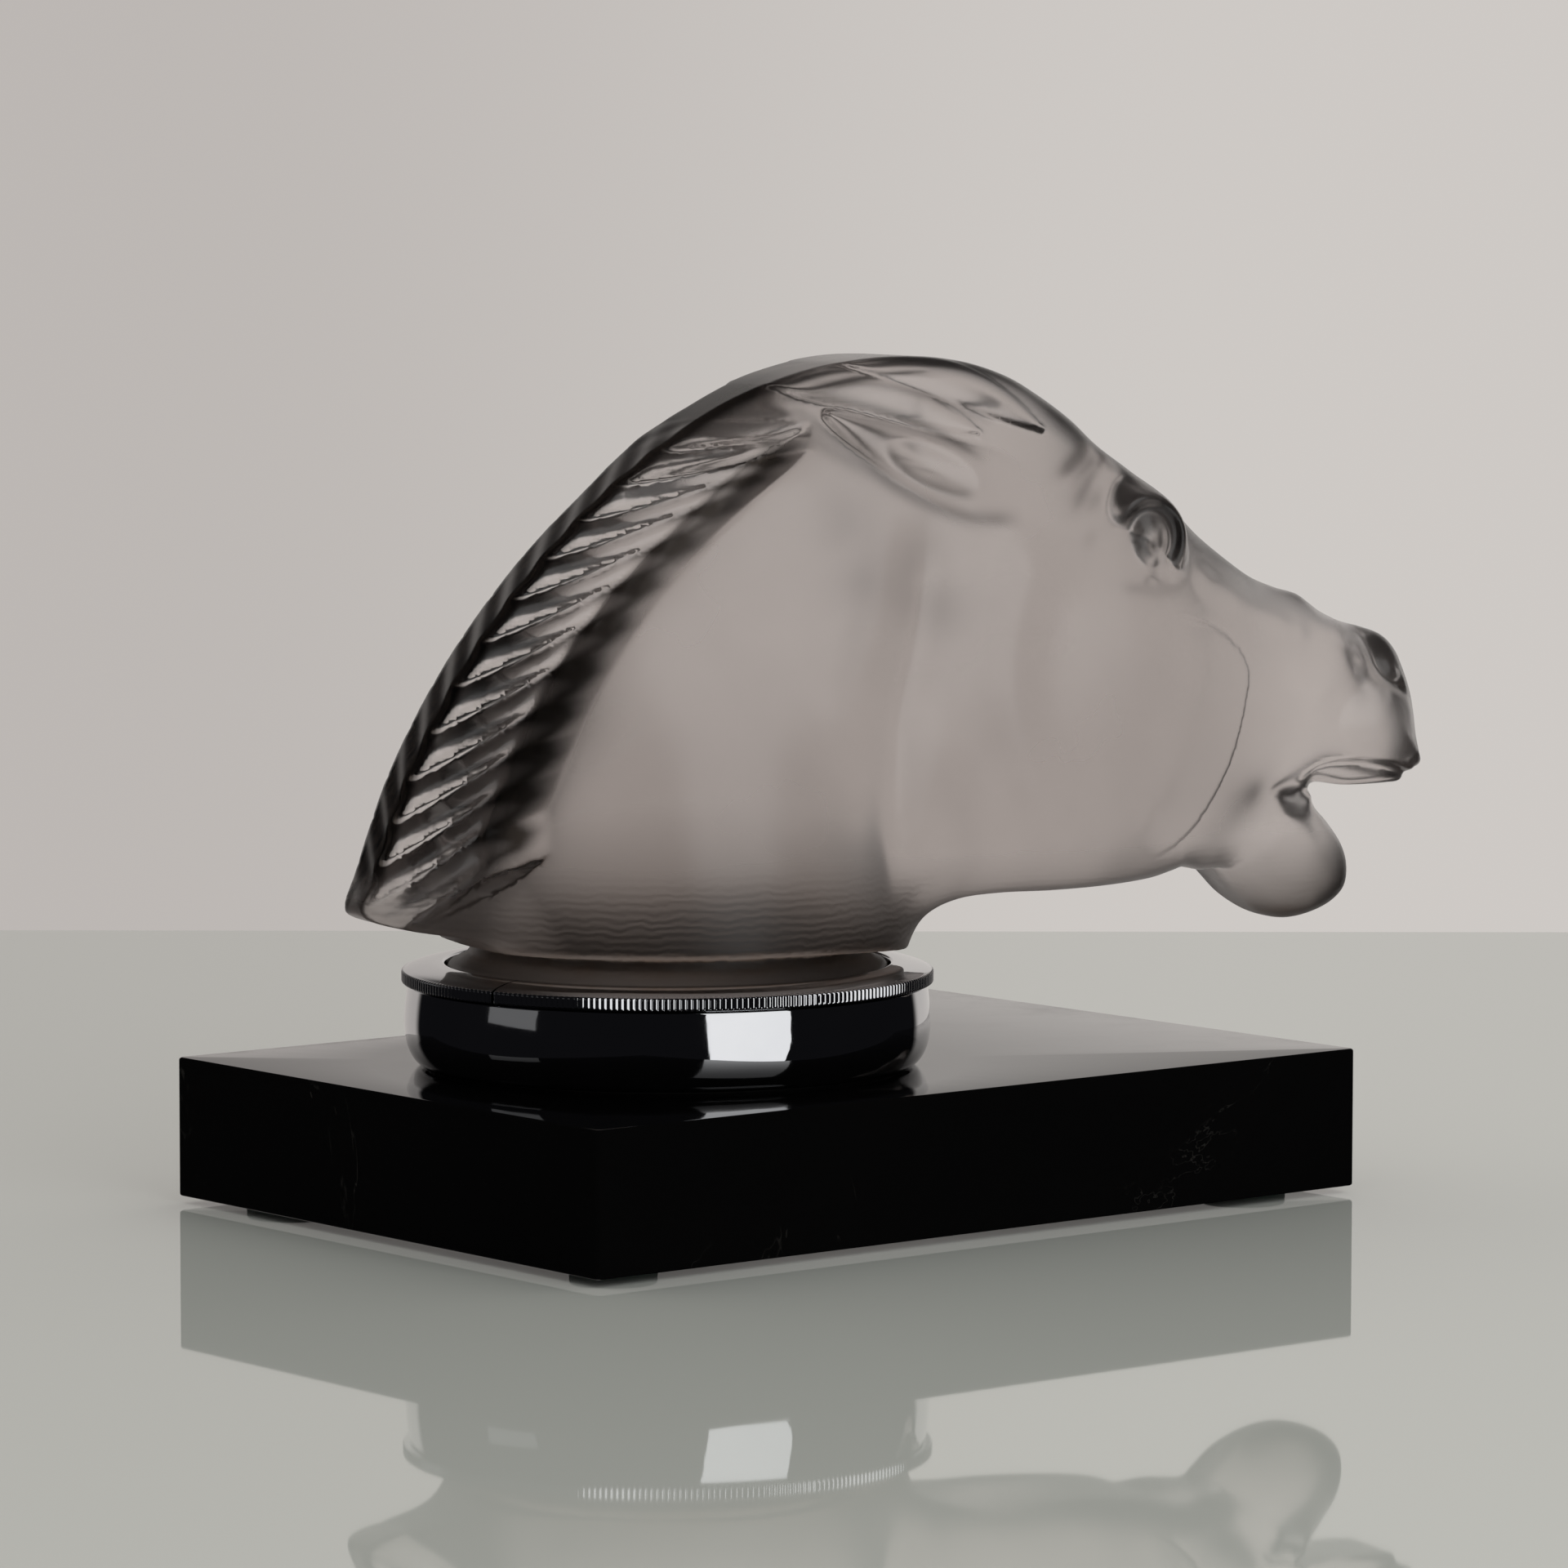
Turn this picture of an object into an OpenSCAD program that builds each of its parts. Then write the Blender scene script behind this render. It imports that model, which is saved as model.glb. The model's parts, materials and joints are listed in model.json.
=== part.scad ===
// Pressed-glass horse's-head car mascot in a two-piece clamp mount, on a display plinth.
// Origin: centre of the plinth's footprint, on the surface it stands on. +X runs along the
// plinth's long side towards the horse's nose, +Z is up. All sizes are millimetres.

/* [Plinth] */
// Length of the plinth along X
plinth_l = 159; // [150:1:170]
// Width of the plinth along Y
plinth_w = 113; // [105:1:120]
// Height of the plinth
plinth_h = 23; // [20:0.5:28]
// Chamfer on the plinth's edges
plinth_edge = 0.8; // [0.4:0.1:1.5]
// Radius of the plinth's upright corners
plinth_corner = 1.2; // [0.6:0.1:3]
// Diameter of each felt pad
pad_d = 14; // [10:1:18]
// Thickness of each felt pad
pad_t = 1.2; // [0.8:0.1:2]
// Distance from the plinth's sides to the middle of each pad
pad_inset = 13; // [10:1:20]

/* [Mount] */
// Distance of the mount's axis behind the plinth's middle
mount_back = 21.5; // [15:0.5:25]
// Widest radius of the mount cup
cup_r = 42.9; // [42.6:0.1:44]
// Height of the mount cup
cup_h = 12.9; // [12.5:0.1:14]
// Thickness of the gasket under the cup
seat_t = 0.4; // [0.3:0.1:1]
// Pitch of the clamp ring's thread
thread_pitch = 1.5; // [1:0.25:2]
// Width of the saw cut between the two ring halves
ring_cut = 0.4; // [0.2:0.1:0.8]
// Angle of the saw cut from the plinth's long axis, seen from above
split_turn = 12; // [0:1:90]

/* [Fasteners] */
// Nominal diameter of the mounting bolt
bolt_d = 8; // [6:1:8]
// Size across the flats of the bolt's head and nut
hex_af = 13; // [12:0.5:14]
// Depth of the nut's recess under the plinth
recess_depth = 11; // [10.5:0.5:12]
// Radius of the nut's recess
recess_r = 13; // [12.5:0.5:15]

/* [Glass] */
// Angle of the horse's head to the plinth, seen from above
head_yaw = -15; // [-30:1:30]
// Radius of the waist between the neck and the foot
waist_r = 32; // [31:0.1:33]
// Radius of the glass foot inside the mount
foot_r = 37.8; // [37:0.1:38]
// Mane locks on each side of the neck
lock_count = 13; // [8:1:15]

/* [Hidden] */

$fn = 96;
eps = 0.01;

// Heights above the standing surface
plinth_z = pad_t;
plinth_top = plinth_z + plinth_h;
cup_z = plinth_top + seat_t;
cup_top = cup_z + cup_h;
cup_floor = cup_z + 3;
ledge_z = cup_z + 6.6;
foot_z = ledge_z + 1;
flange_top = foot_z + 6;
ring_z = cup_top + 0.3;
lip_z = flange_top + 1;
ring_top = lip_z + 1.9;

// Radii in the mount
bore_r = cup_r - 2.2;
skirt_r = bore_r - 0.1;
skirt_inner_r = skirt_r - 2.1;
opening_r = 36.3;
boss_r = 35.9;
rim_r = 43.4;
well_r = 33;
groove = 0.4;
thread_turns = 3;

// Fasteners
bolt_r = bolt_d / 2;
hex_r = hex_af / 2 / cos(30);
washer_t = 1.2;
head_t = 2.2;
spring_t = 2;
nut_t = 6.5;
recess_top = plinth_z + recess_depth;
washer_z = recess_top - washer_t;
spring_z = washer_z - spring_t;
nut_z = spring_z - nut_t;
bolt_z = nut_z - 0.5;
bolt_head_z = cup_floor + washer_t;

// Glass head, in its own frame: +X to the nose, from the mount's axis and the standing surface.
// Each station is [x, bottom z, top z, half-width at the bottom, middle and top].
head_stations = [
    [-54.2, 51.5, 53.5, 4, 5, 4],
    [-53, 50, 56, 5, 6.5, 5],
    [-50.5, 49.2, 63, 6.5, 9, 7],
    [-47, 48.2, 72.5, 7.5, 12, 7],
    [-42, 47.2, 82, 9, 15, 7],
    [-36, 46.3, 92, 11, 18, 7],
    [-30, 44.5, 100.5, 14, 20, 7],
    [-24, 44.5, 108, 23, 22, 7],
    [-16, 44.5, 115.5, 29.5, 24.5, 7],
    [-8, 44.5, 122.3, 33, 26, 7],
    [0, 44.4, 127.8, 34.2, 27, 7.5],
    [10, 44.2, 133, 33, 27.5, 8],
    [20, 43.8, 137, 28.5, 27.5, 9],
    [28, 43.2, 139, 21, 27, 10],
    [34, 42.6, 139.5, 11, 26.5, 11],
    [38, 46, 139.6, 15, 26, 11],
    [43, 49.5, 139.3, 19, 26, 11],
    [50, 51.2, 138.3, 21, 25.5, 11],
    [58, 51.4, 135.9, 21.5, 25, 11],
    [66, 51.2, 131.6, 21, 24.5, 11],
    [74, 51.4, 125.2, 20, 23.5, 12],
    [82, 52.2, 119.5, 18, 21.5, 13],
    [88, 53.4, 114.8, 15.5, 19.5, 11],
    [94, 53.4, 109.2, 12.5, 17, 8.5],
    [100, 53.6, 104.8, 11, 15, 7.5],
    [107, 54.5, 101, 10.5, 13.5, 7],
    [112, 58, 99.4, 10.5, 13, 7],
    [115, 66, 97.8, 10.5, 12.8, 7],
    [120, 66.4, 94.8, 11, 12.8, 7],
    [126, 66.4, 92.8, 11, 12.8, 7],
    [131, 66.6, 91.2, 10.5, 12, 6.5],
    [134.5, 67.8, 88, 9, 10.5, 5.5],
    [136.5, 70, 84, 6.5, 8, 4.5],
    [137.3, 73, 80, 3.5, 4.5, 3]
];
chin_stations = [
    [95, 53, 62, 6, 8, 7],
    [100, 50.8, 66, 8, 10, 8],
    [104, 46.8, 66.5, 8, 10.5, 8],
    [109, 44.2, 66.5, 8, 10.5, 8.5],
    [113.5, 43.4, 64, 8, 10.5, 8.5],
    [117.5, 43.9, 61.2, 7.5, 10, 8],
    [121, 45.4, 57.6, 7, 9, 7],
    [123.3, 47, 54.5, 5.5, 7, 5.5],
    [124.3, 49, 52, 3, 4, 3]
];
ring_points = 28;
boxiness = 2 / 3;
// Crest of the neck, along which the mane locks start
crest_start = [-51, 54];
crest_end = [4, 126];
crest_bulge = 12;
eye_at = [79.5, 109.5];

function power(x, e) = sign(x) * pow(abs(x), e);
// Half-width at the share s of a section's height, through its bottom, middle and top values
function width_at(s, k) =
    k[3] * (1 - s) * (1 - 2 * s) + k[4] * 4 * s * (1 - s) + k[5] * s * (2 * s - 1);
// One upright section: a squared-off ellipse whose width changes with its height
function section(k) = [
    for (i = [0 : ring_points - 1])
        let (
            a = 360 * i / ring_points,
            s = (1 - power(cos(a), boxiness)) / 2
        )
        [k[0], power(sin(a), boxiness) * width_at(s, k), k[1] + (k[2] - k[1]) * s]
];
// A Catmull-Rom curve from b to c, with a and d beyond them
function curve(a, b, c, d, t) =
    let (
        bend = 2 * a - 5 * b + 4 * c - d,
        twist = 3 * (b - c) + d - a
    )
    b + 0.5 * t * (c - a + t * (bend + t * twist));
function between(rows, steps) = let (last = len(rows) - 1) [
    for (i = [0 : last - 1])
        for (j = [0 : steps - 1])
            curve(rows[max(i - 1, 0)], rows[i], rows[i + 1], rows[min(i + 2, last)], j / steps),
    rows[last]
];

module loft(rows) {
    rings = [for (k = between(rows, 2)) section(k)];
    n = ring_points;
    last = len(rings) - 1;
    sides = [
        for (i = [0 : last - 1])
            for (j = [0 : n - 1])
                let (a = i * n + j, b = i * n + (j + 1) % n)
                each [[a, b + n, b], [a, a + n, b + n]]
    ];
    polyhedron(
        points = [for (ring = rings) each ring],
        faces = concat(
            sides,
            [[for (j = [0 : n - 1]) j]],
            [[for (j = [n - 1 : -1 : 0]) last * n + j]]
        ),
        convexity = 6
    );
}

module on_mount() {
    translate([-mount_back, 0, 0]) children();
}

module disc(r, hole, z, t) {
    translate([0, 0, z]) difference() {
        cylinder(r = r, h = t);
        translate([0, 0, -1]) cylinder(r = hole, h = t + 2);
    }
}

module hexagon(z, t) {
    translate([0, 0, z]) cylinder(r = hex_r, h = t, $fn = 6);
}

// Rectangle with rounded corners
module round_rectangle(l, w, r) {
    square([l - 2 * r, w], center = true);
    square([l, w - 2 * r], center = true);
    for (x = [-1, 1], y = [-1, 1])
        translate([x * (l / 2 - r), y * (w / 2 - r)]) circle(r = r);
}

// Bar of length along with its long edges chamfered, lying on its back
module chamfered_bar(across, along, h, c) {
    x = across / 2;
    rotate([90, 0, 0]) translate([0, 0, -along / 2]) linear_extrude(along)
        polygon([
            [-x + c, 0], [x - c, 0], [x, c], [x, h - c],
            [x - c, h], [-x + c, h], [-x, h - c], [-x, c]
        ]);
}

module plinth() {
    color("#161616") difference() {
        translate([0, 0, plinth_z]) intersection() {
            linear_extrude(plinth_h) round_rectangle(plinth_l, plinth_w, plinth_corner);
            chamfered_bar(plinth_l, plinth_w, plinth_h, plinth_edge);
            rotate(90) chamfered_bar(plinth_w, plinth_l, plinth_h, plinth_edge);
        }
        on_mount() cylinder(r = bolt_r + 0.3, h = plinth_top + 1);
        on_mount() cylinder(r = recess_r, h = recess_top);
    }
}

module pad(x, y) {
    color("#123a2c") translate([
        x * (plinth_l / 2 - pad_inset),
        y * (plinth_w / 2 - pad_inset),
        0
    ]) cylinder(d = pad_d, h = pad_t);
}

module seat_gasket() {
    color("#2b2521") on_mount() disc(38, bolt_r + 0.6, plinth_top, seat_t);
}

module mount_cup() {
    waist = cup_r - 3.6;
    color("#b9bcc0") on_mount() difference() {
        rotate_extrude() polygon([
            [0, cup_z], [waist, cup_z], [cup_r - 2, cup_z + 1], [cup_r - 0.9, cup_z + 2.2],
            [cup_r - 0.3, cup_z + 4], [cup_r, cup_z + 7], [cup_r, cup_z + 10],
            [cup_r - 0.2, cup_top - 0.4], [cup_r - 0.5, cup_top], [0, cup_top]
        ]);
        translate([0, 0, ledge_z]) cylinder(r = bore_r, h = cup_h);
        translate([0, 0, cup_floor]) cylinder(r = well_r, h = cup_h);
        cylinder(r = bolt_r + 0.2, h = cup_top);
        thread_grooves(bore_r, groove, ledge_z + 1.6);
    }
}

// Rings of triangular section that stand for a thread's grooves, cut to depth from radius r
module thread_grooves(r, depth, z) {
    half = thread_pitch * 0.35;
    for (i = [0 : thread_turns - 1])
        translate([0, 0, z + i * thread_pitch]) rotate_extrude() polygon([
            [r - sign(depth) * 0.05, -half],
            [r + depth, 0],
            [r - sign(depth) * 0.05, half]
        ]);
}

module bolt_washer() {
    color("#9a9c9f") on_mount() disc(10, bolt_r + 0.2, cup_floor, washer_t);
}

module mount_bolt() {
    color("#8f9194") on_mount() {
        hexagon(bolt_head_z, head_t);
        translate([0, 0, bolt_z + 1]) cylinder(r = bolt_r, h = bolt_head_z - bolt_z - 1 + eps);
        translate([0, 0, bolt_z]) cylinder(r1 = bolt_r - 1, r2 = bolt_r, h = 1);
    }
}

module plinth_washer() {
    color("#9a9c9f") on_mount() disc(recess_r - 1, bolt_r + 0.2, washer_z, washer_t);
}

module spring_washer() {
    color("#77797c") on_mount() difference() {
        disc(7.4, bolt_r + 0.1, spring_z, spring_t);
        translate([0, -0.6, spring_z - 1]) cube([10, 1.2, spring_t + 2]);
    }
}

module mount_nut() {
    color("#8f9194") on_mount() difference() {
        hexagon(nut_z, nut_t);
        translate([0, 0, nut_z - 1]) cylinder(r = bolt_r + 0.03, h = nut_t + 2);
    }
}

module foot_gasket() {
    color("#3a302a") on_mount() disc(foot_r, well_r, ledge_z, foot_z - ledge_z - 0.05);
}

// Round foot below the neck: flange, boss and the hollow flare up to the waist
module glass_foot() {
    flare_h = 3.2;
    neck_z = 46;
    boss_top = ring_top - 0.3;
    rotate_extrude($fn = 56) polygon(concat(
        [[0, foot_z], [foot_r - 1, foot_z], [foot_r, foot_z + 1], [foot_r, flange_top - 0.6]],
        [[foot_r - 0.6, flange_top], [boss_r, flange_top]],
        [for (i = [0 : 6]) let (a = 15 * i) [
            boss_r - (boss_r - waist_r) * sin(a),
            boss_top + flare_h * (1 - cos(a))
        ]],
        [[waist_r, neck_z], [0, neck_z]]
    ));
}

// Stretched ball, the building block of the raised shapes on the glass
module blob(at, r, stretch = [1, 1, 1], n = 8) {
    translate(at) scale(stretch) sphere(r = r, $fn = n);
}

// One mane lock: a pointed leaf from the crest down the side of the neck
module mane_lock(t, side) {
    x = crest_start[0] + (crest_end[0] - crest_start[0]) * t - crest_bulge * sin(180 * t) * 0.75;
    z = crest_start[1] + (crest_end[1] - crest_start[1]) * t + crest_bulge * sin(180 * t) * 0.6;
    length = 14 + 16 * t;
    hull() {
        blob([x + 2.5, side * 6, z + 0.5], 2.2);
        blob([x + length * 0.45, side * (9 + 3 * t), z + 3], 4.4, [1.6, 1, 0.8]);
        blob([x + length, side * (15 + 3 * t), z + 4 * (1 - t)], 2);
    }
}

module ear(side) {
    hull() {
        blob([53, side * 20, 118], 6, [1.4, 0.8, 1.1], 16);
        blob([40, side * 18.5, 124], 4.5, [1.5, 0.8, 1], 16);
        blob([29, side * 13.5, 128], 1.8);
    }
}

module forelock(side) {
    hull() {
        blob([24, side * 6, 135], 2);
        blob([45, side * 7, 133.5], 4.6, [2.4, 1, 1], 16);
        blob([66, side * 5, 128.5], 2);
    }
}

module glass_head() {
    color("#8d8985") on_mount() rotate(head_yaw) union() {
        glass_foot();
        loft(head_stations);
        loft(chin_stations);
        for (side = [-1, 1]) {
            for (i = [0 : lock_count - 1]) mane_lock(i / (lock_count - 1), side);
            ear(side);
            forelock(side);
            blob([eye_at[0], side * 15.5, eye_at[1]], 4.5, [1, 1, 1], 20);
            blob([76, side * 13.5, 115], 4, [1.8, 0.9, 0.9], 20);
        }
    }
}

module ring_packing() {
    color("#4a3f35") on_mount() difference() {
        disc(skirt_inner_r - 0.3, opening_r + 0.2, flange_top + 0.05, lip_z - flange_top - 0.1);
        translate([30, -0.3, flange_top - 1]) cube([12, 0.6, 4]);
    }
}

// Section of the clamp ring: milled rim, shallow domed top, lip and threaded skirt
module ring_section() {
    skirt_z = foot_z + 0.6;
    polygon([
        [opening_r, lip_z], [opening_r, ring_top - 0.4], [opening_r + 0.4, ring_top],
        [opening_r + 2.6, ring_top - 0.1], [opening_r + 4.6, ring_top - 0.4],
        [rim_r - 0.9, ring_top - 0.9], [rim_r, ring_top - 1.5], [rim_r, ring_z + 0.3],
        [rim_r - 0.4, ring_z], [skirt_r, ring_z], [skirt_r, skirt_z],
        [skirt_inner_r, skirt_z], [skirt_inner_r, lip_z]
    ]);
}

module clamp_ring_half(turn) {
    color("#c3c6ca") on_mount() rotate(turn) difference() {
        rotate_extrude() ring_section();
        translate([-50, -50, 0]) cube([100, 50 + ring_cut / 2, 60]);
        thread_grooves(skirt_r, -groove, foot_z + 1.8);
    }
}

plinth();
pad(1, 1);  // pad_front_left
pad(1, -1);  // pad_front_right
pad(-1, 1);  // pad_rear_left
pad(-1, -1);  // pad_rear_right
seat_gasket();
mount_cup();
bolt_washer();
mount_bolt();
plinth_washer();
spring_washer();
mount_nut();
foot_gasket();
glass_head();
ring_packing();
clamp_ring_half(split_turn);  // clamp_ring_left
clamp_ring_half(split_turn + 180);  // clamp_ring_right
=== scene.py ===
"""Glass horse's-head hood ornament in a chromed clamp mount on a black marble plinth.

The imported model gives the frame. The glass head, clamp ring, cup, plinth and felt pads are
rebuilt here as fine meshes that replace their plain CAD nodes; the hidden fittings keep their
CAD shape. Working units are millimetres in the head's own frame, metres in Blender.
"""
import json
import math

import bpy
import numpy as np
from mathutils import Matrix, Vector


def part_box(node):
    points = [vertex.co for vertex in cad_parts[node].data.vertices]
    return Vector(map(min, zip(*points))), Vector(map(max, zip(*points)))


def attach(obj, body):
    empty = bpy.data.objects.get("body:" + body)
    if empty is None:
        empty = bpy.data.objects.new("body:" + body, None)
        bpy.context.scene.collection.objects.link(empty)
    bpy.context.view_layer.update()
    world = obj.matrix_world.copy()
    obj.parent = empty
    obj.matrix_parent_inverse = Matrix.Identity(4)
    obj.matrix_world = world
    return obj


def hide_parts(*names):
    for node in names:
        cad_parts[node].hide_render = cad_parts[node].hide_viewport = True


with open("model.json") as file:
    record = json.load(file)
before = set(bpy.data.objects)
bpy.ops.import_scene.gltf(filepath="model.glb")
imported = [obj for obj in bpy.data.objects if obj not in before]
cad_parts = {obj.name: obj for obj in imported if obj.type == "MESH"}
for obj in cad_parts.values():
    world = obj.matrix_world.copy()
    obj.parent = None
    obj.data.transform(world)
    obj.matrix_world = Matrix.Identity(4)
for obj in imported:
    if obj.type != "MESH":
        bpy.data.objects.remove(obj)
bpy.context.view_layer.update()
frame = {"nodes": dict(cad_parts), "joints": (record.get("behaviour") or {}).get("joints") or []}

MM = 0.001
TAU = 2 * math.pi
FAR = 1e9
JOINTS = {j["name"]: j for j in frame["joints"]}
MOUNT_X, MOUNT_Y = (c / MM for c in JOINTS["ring_turn"]["pos_m"][:2])
HEAD_YAW = math.radians(-15)
# Steps between the values over the middle plane, and between the glass's mesh points
PLANE_STEP = 0.34
MESH_STEP = 0.65

# --- Glass head: outline in the middle plane ---
# Points are (forward from the mount's axis, height, radius of the rounded edge), starting at
# the mane's lower tip and running up the crest, over the poll, down the face and back.
CREST = [
    (-54.6, 52.0, 1.2), (-52.9, 56.5, 1.2), (-50.7, 63.0, 1.2), (-47.2, 72.2, 1.2),
    (-42.2, 82.0, 1.2), (-36.5, 91.2, 1.2), (-30.0, 99.9, 1.2), (-22.6, 108.4, 1.2),
    (-14.0, 116.6, 1.3), (-4.0, 124.9, 1.5), (6.3, 131.2, 2), (17.0, 135.9, 3),
    (28.0, 138.6, 4), (38.0, 139.3, 4), (48.0, 138.4, 4.5), (56.8, 136.0, 6),
    (63.5, 132.6, 7), (69.0, 128.7, 6), (73.5, 124.4, 5),
]
FACE = [
    (80.0, 119.8, 5), (87.0, 114.3, 4.5), (93.0, 109.4, 4), (99.0, 105.0, 4),
    (104.2, 101.8, 4), (109.2, 99.8, 4), (113.3, 98.7, 4), (115.2, 97.4, 4),
    (118.0, 95.6, 5), (122.6, 93.7, 6), (127.0, 92.6, 6), (130.6, 91.3, 6),
    (133.2, 88.8, 7), (134.8, 85.5, 8), (136.0, 81.0, 8), (137.0, 76.6, 8),
    (137.1, 72.2, 6), (136.0, 69.4, 3), (133.4, 68.6, 1.5),
]
MOUTH = [
    (132.4, 66.6, 1.2), (128.8, 66.3, 1.2), (121.0, 66.2, 1.5), (115.0, 66.9, 2),
    (113.6, 65.2, 3), (114.8, 63.0, 4), (118.6, 60.2, 6), (122.0, 56.4, 6),
    (123.8, 52.6, 6), (123.9, 48.6, 6), (121.6, 45.8, 6), (117.4, 44.0, 6),
    (112.6, 43.4, 6), (107.6, 44.6, 6), (103.6, 47.4, 5), (100.6, 51.0, 5),
]
THROAT = [
    (98.6, 52.9, 5), (93.0, 53.0, 5), (88.4, 53.9, 5), (86.0, 53.2, 6),
    (81.8, 52.1, 7), (73.7, 51.3, 8), (63.5, 51.0, 8), (54.0, 51.0, 8),
    (46.0, 50.2, 8), (40.0, 47.5, 8), (36.0, 42.0, 8), (33.0, 36.0, 8),
    (-30.0, 36.0, 6), (-33.5, 44.0, 3), (-36.5, 46.6, 1.5), (-46.2, 48.2, 1.2),
    (-53.0, 50.0, 1.2),
]

# Half-thickness of the glass: (forward, height, half-thickness)
WIDTHS = [
    (-54, 52, 7), (-50.6, 63, 7), (-42, 82, 7), (-30, 100, 7), (-14, 116.6, 7), (6, 131, 7),
    (28, 138.8, 12.5), (48, 138.7, 13), (63.5, 133, 12.5), (73, 124.8, 12),
    (-44, 55, 12.5), (-38, 70, 14.5), (-30, 84, 16), (-20, 97, 17), (-6, 110, 18),
    (10, 120, 18), (28, 127, 16.5), (45, 128, 16.5), (60, 124, 16.5),
    (-31, 55, 20.5), (-24, 70, 21.5), (-15, 84, 22), (-3, 96, 22), (12, 106, 22),
    (30, 113, 21.5), (-10, 50, 31), (0, 60, 29.5), (5, 75, 27.5), (10, 90, 25),
    (20, 70, 27.5), (20, 50, 28), (33, 60, 24.5), (30, 85, 25), (34, 48, 20),
    (60, 85, 24.5), (75, 80, 24), (70, 100, 23), (50, 100, 23), (60, 60, 22),
    (75, 60, 21), (87, 75, 21.8), (88, 60, 18.5), (45, 70, 24), (80, 108, 19),
    (70, 114, 18.5), (80, 119, 12.5), (87, 114, 12), (95, 98, 17.5), (97, 85, 19),
    (93, 109, 9), (105, 95, 14), (105, 85, 16), (105, 101, 7.5), (115, 85, 14),
    (120, 80, 13), (128, 80, 13), (133, 80, 11), (128, 92, 7.5), (136, 75, 8.5),
    (131, 69, 11.5), (120, 69, 12.5), (97, 70, 17.5), (97, 58, 13.5), (106, 60, 12),
    (112, 52, 9), (121, 50, 7.5), (106, 48, 8), (-20, 45, 27), (0, 45, 34),
]

# Round foot of the glass: (radius, height) of its section, closed well past the axis
FOOT = [
    (-20, 32.2), (36.8, 32.2), (37.8, 33.2), (37.8, 37.6), (37.2, 38.2), (35.9, 38.2),
    (35.9, 40.5), (35.4, 41.1), (34.3, 41.5), (33.2, 42.1), (32.4, 42.9), (32.0, 44.0),
    (32.0, 49.0), (-20, 49.0),
]
# Round base of the neck, an ellipsoid: radius, height and centre (forward, up)
NECK_R, NECK_H, NECK_U, NECK_Z = 34.2, 50.0, 1.2, 43
# The underside of the head: its height behind the axis and how much it drops towards the jaw
CUT_Z, CUT_DROP = 44.9, 0.0014
FOOT_TOP = 50


def smooth_line(points, steps=8, closed=False):
    """Catmull-Rom curve through the points."""
    p = np.array(points, float)
    n = len(p)
    idx = np.arange(n if closed else n - 1)
    take = (lambda k: p[(idx + k) % n]) if closed else (lambda k: p[np.clip(idx + k, 0, n - 1)])
    a, b, c, d = (take(k) for k in (-1, 0, 1, 2))
    rows = []
    for t in np.arange(steps) / steps:
        rows.append(b + 0.5 * t * ((c - a) + t * (2 * a - 5 * b + 4 * c - d + t * (3 * (b - c) + d - a))))
    line = np.stack(rows, 1).reshape(-1, p.shape[1])
    return line if closed else np.vstack([line, p[-1:]])


def smoothstep(lo, hi, x):
    t = np.clip((x - lo) / (hi - lo), 0, 1)
    return t * t * (3 - 2 * t)


def smooth_min(a, b, k):
    h = np.clip(0.5 + 0.5 * (b - a) / k, 0, 1)
    return b + (a - b) * h - k * h * (1 - h)


def thin_plate(points, slack=20.0):
    """Smooth surface through (x, y, value) points, as a function of x and y."""
    p = np.array(points, float)
    xy, n = p[:, :2], len(p)

    def kernel(a):
        d2 = ((a[:, None, :] - xy[None]) ** 2).sum(-1)
        return 0.5 * d2 * np.log(d2 + 1e-9)

    ones = np.c_[np.ones(n), xy]
    system = np.block([[kernel(xy) + slack * np.eye(n), ones], [ones.T, np.zeros((3, 3))]])
    weights = np.linalg.solve(system, np.r_[p[:, 2], 0, 0, 0])

    def surface(x, y):
        flat = np.c_[np.ravel(x), np.ravel(y)]
        out = np.empty(len(flat))
        for i in range(0, len(flat), 40000):
            a = flat[i:i + 40000]
            out[i:i + 40000] = kernel(a) @ weights[:n] + np.c_[np.ones(len(a)), a] @ weights[n:]
        return out.reshape(np.shape(x))

    return surface


def line_distance(x, y, line):
    """Distance to an open line, the side (+1 left of its run) and the share along it."""
    line = np.asarray(line, float)
    steps = np.linalg.norm(np.diff(line, axis=0), axis=1)
    along = np.r_[0, np.cumsum(steps)] / steps.sum()
    best = np.full(np.shape(x), FAR)
    side, share = np.zeros(np.shape(x)), np.zeros(np.shape(x))
    for a, b, s0, s1 in zip(line[:-1], line[1:], along[:-1], along[1:]):
        d = b - a
        t = np.clip(((x - a[0]) * d[0] + (y - a[1]) * d[1]) / (d @ d), 0, 1)
        ex, ey = x - a[0] - t * d[0], y - a[1] - t * d[1]
        dist = np.hypot(ex, ey)
        near = dist < best
        best = np.where(near, dist, best)
        side = np.where(near, np.sign(d[0] * ey - d[1] * ex), side)
        share = np.where(near, s0 + t * (s1 - s0), share)
    return best, side, share


def outline_distance(x, y, line):
    """Signed distance to a closed outline, negative inside, and the nearest edge radius."""
    best = np.full(x.shape, FAR)
    inside = np.zeros(x.shape, bool)
    radius = np.zeros(x.shape)
    for a, b in zip(line, np.roll(line, -1, axis=0)):
        d = b[:2] - a[:2]
        t = np.clip(((x - a[0]) * d[0] + (y - a[1]) * d[1]) / (d @ d), 0, 1)
        dist = np.hypot(x - a[0] - t * d[0], y - a[1] - t * d[1])
        near = dist < best
        best = np.where(near, dist, best)
        radius = np.where(near, a[2] + t * (b[2] - a[2]), radius)
        if a[1] != b[1]:
            crosses = (a[1] > y) != (b[1] > y)
            inside ^= crosses & (x < a[0] + (y - a[1]) / (b[1] - a[1]) * d[0])
    return np.where(inside, -best, best), radius


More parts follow.
